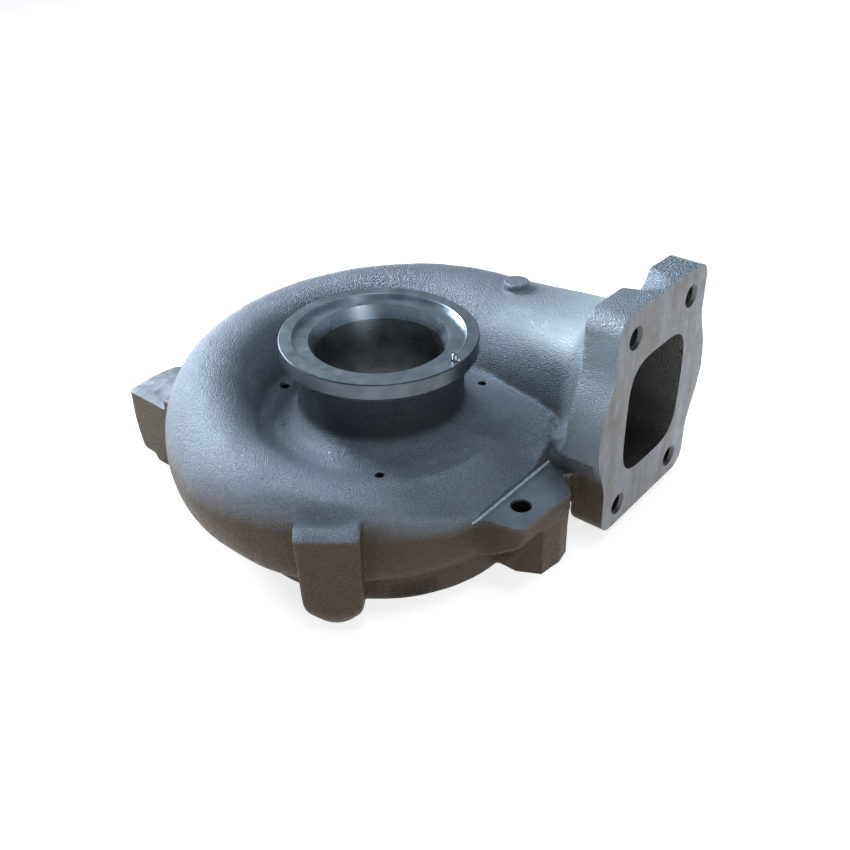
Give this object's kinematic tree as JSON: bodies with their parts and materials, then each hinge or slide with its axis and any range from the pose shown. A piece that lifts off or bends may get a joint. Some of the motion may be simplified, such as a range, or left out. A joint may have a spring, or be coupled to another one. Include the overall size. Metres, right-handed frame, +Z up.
{
  "type": "turbocharger turbine housing",
  "caption": "Cast turbine housing with a spiral gas scroll, rectangular inlet flange, round clamp outlet, milled mounting pads and bolt bosses on the bearing side.",
  "frame": {"origin": "on the turbine axis, in the plane of the bearing housing face on which the part rests", "axes": "+Z up the turbine axis towards the gas outlet, +X out of the inlet flange's face, +Y by the right-hand rule, to the side of the axis where the inlet duct lies"},
  "size_m": [0.2935, 0.2766, 0.146],
  "materials": {
    "casting": "shot blasted casting with machined faces",
    "pin": "ground"
  },
  "bodies": {
    "root": {"turbine_housing": "casting", "locating_pin": "pin"}
  },
  "joints": []
}
